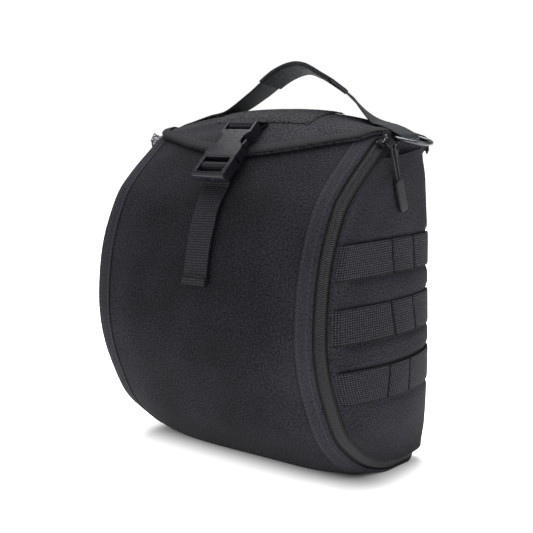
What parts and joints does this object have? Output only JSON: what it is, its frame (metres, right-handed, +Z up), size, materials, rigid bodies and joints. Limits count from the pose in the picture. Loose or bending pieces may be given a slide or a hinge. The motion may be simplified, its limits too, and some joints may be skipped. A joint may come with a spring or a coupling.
{
  "type": "tactical helmet bag",
  "caption": "D-shaped padded helmet bag with a buckled top flap, zipped sides with webbing rows, a carrying handle and a metal D-ring at each side.",
  "frame": {"origin": "middle of the flat patch of the base that the bag stands on", "axes": "+Z up, the curved front faces -Y, +X to the right when the bag is seen from the front"},
  "size_m": [0.2746, 0.1515, 0.3185],
  "materials": {
    "nylon": "matt black nylon weave",
    "loop": "fuzzy black loop pile",
    "webbing": "ribbed black webbing",
    "handle": "smooth dark grey webbing",
    "zip": "black zip tape and coil",
    "cord": "black braided cord",
    "plastic": "satin black moulded plastic",
    "metal": "dark gunmetal plating"
  },
  "bodies": {
    "bag": {"front_panel": "nylon", "back_panel": "nylon", "right_side_panel": "nylon", "left_side_panel": "nylon", "top_flap": "nylon", "flap_binding": "webbing", "loop_patch": "loop", "buckle_socket": "plastic", "buckle_plug": "plastic", "buckle_tab": "webbing", "front_strap": "webbing", "handle_strap": "handle", "handle_sleeve": "handle", "right_zip_tape": "zip", "right_zip_coil": "zip", "right_zip_slider": "metal", "right_pull_tab": "metal", "right_pull_loop": "cord", "right_pull_grip": "plastic", "right_webbing_1": "webbing", "right_webbing_2": "webbing", "right_webbing_3": "webbing", "left_zip_tape": "zip", "left_zip_coil": "zip", "left_zip_slider": "metal", "left_pull_tab": "metal", "left_pull_loop": "cord", "left_pull_grip": "plastic", "left_webbing_1": "webbing", "left_webbing_2": "webbing", "left_webbing_3": "webbing"},
    "right_d_ring": {"right_d_ring": "metal"},
    "left_d_ring": {"left_d_ring": "metal"}
  },
  "joints": [
    {"name": "right_d_ring_swing", "type": "hinge", "parent": "bag", "child": "right_d_ring", "pos_m": [0.11631, 0.01438, 0.25725], "axis": [0, -1, 0], "range_deg": [0, 95]},
    {"name": "left_d_ring_swing", "type": "hinge", "parent": "bag", "child": "left_d_ring", "pos_m": [-0.11631, 0.01438, 0.25725], "axis": [0, 1, 0], "range_deg": [0, 95]}
  ]
}
